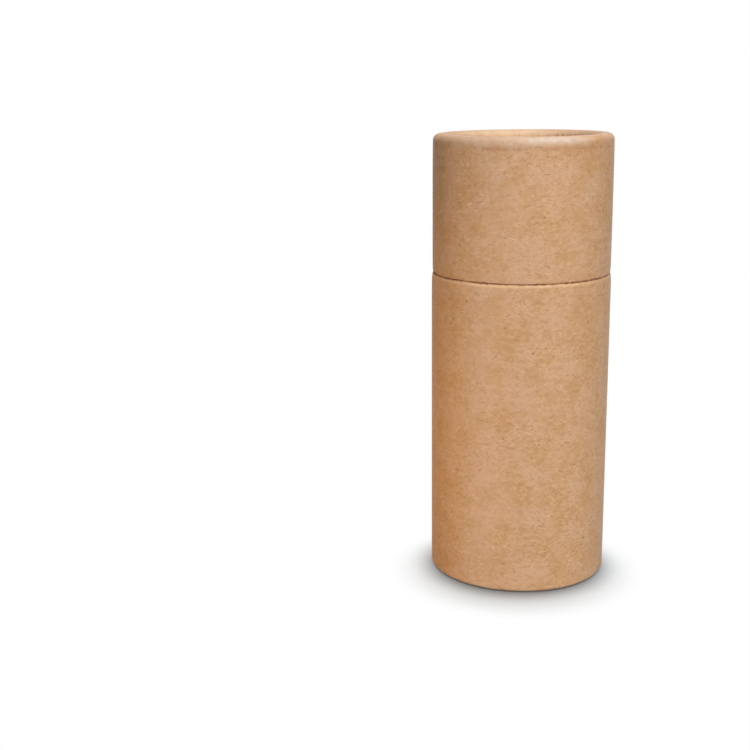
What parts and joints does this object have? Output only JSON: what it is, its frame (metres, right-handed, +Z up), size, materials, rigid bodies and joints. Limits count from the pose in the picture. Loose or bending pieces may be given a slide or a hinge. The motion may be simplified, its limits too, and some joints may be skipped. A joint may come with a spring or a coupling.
{
  "type": "paper tube gift box",
  "caption": "Round kraft paper tube box: a body with a white inner neck, and a slip-on cap with a curled rim and recessed disc.",
  "frame": {"origin": "centre of the foot, on the surface that the box stands on", "axes": "+Z up along the axis of the tubes, from the foot to the cap"},
  "size_m": [0.052, 0.052, 0.129],
  "materials": {
    "kraft_board": "uncoated kraft paper, matte, with fine fibres",
    "kraft_disc": "uncoated kraft board, matte",
    "white_liner": "smooth white paper, faint sheen"
  },
  "bodies": {
    "box": {"body_tube": "kraft_board", "base_disc": "kraft_disc", "neck_liner": "white_liner"},
    "cap": {"cap_tube": "kraft_board", "cap_disc": "kraft_disc"}
  },
  "joints": [
    {"name": "cap_slide", "type": "slide", "parent": "box", "child": "cap", "axis": [0, 0, 1], "range_m": [0, 0.07]}
  ]
}
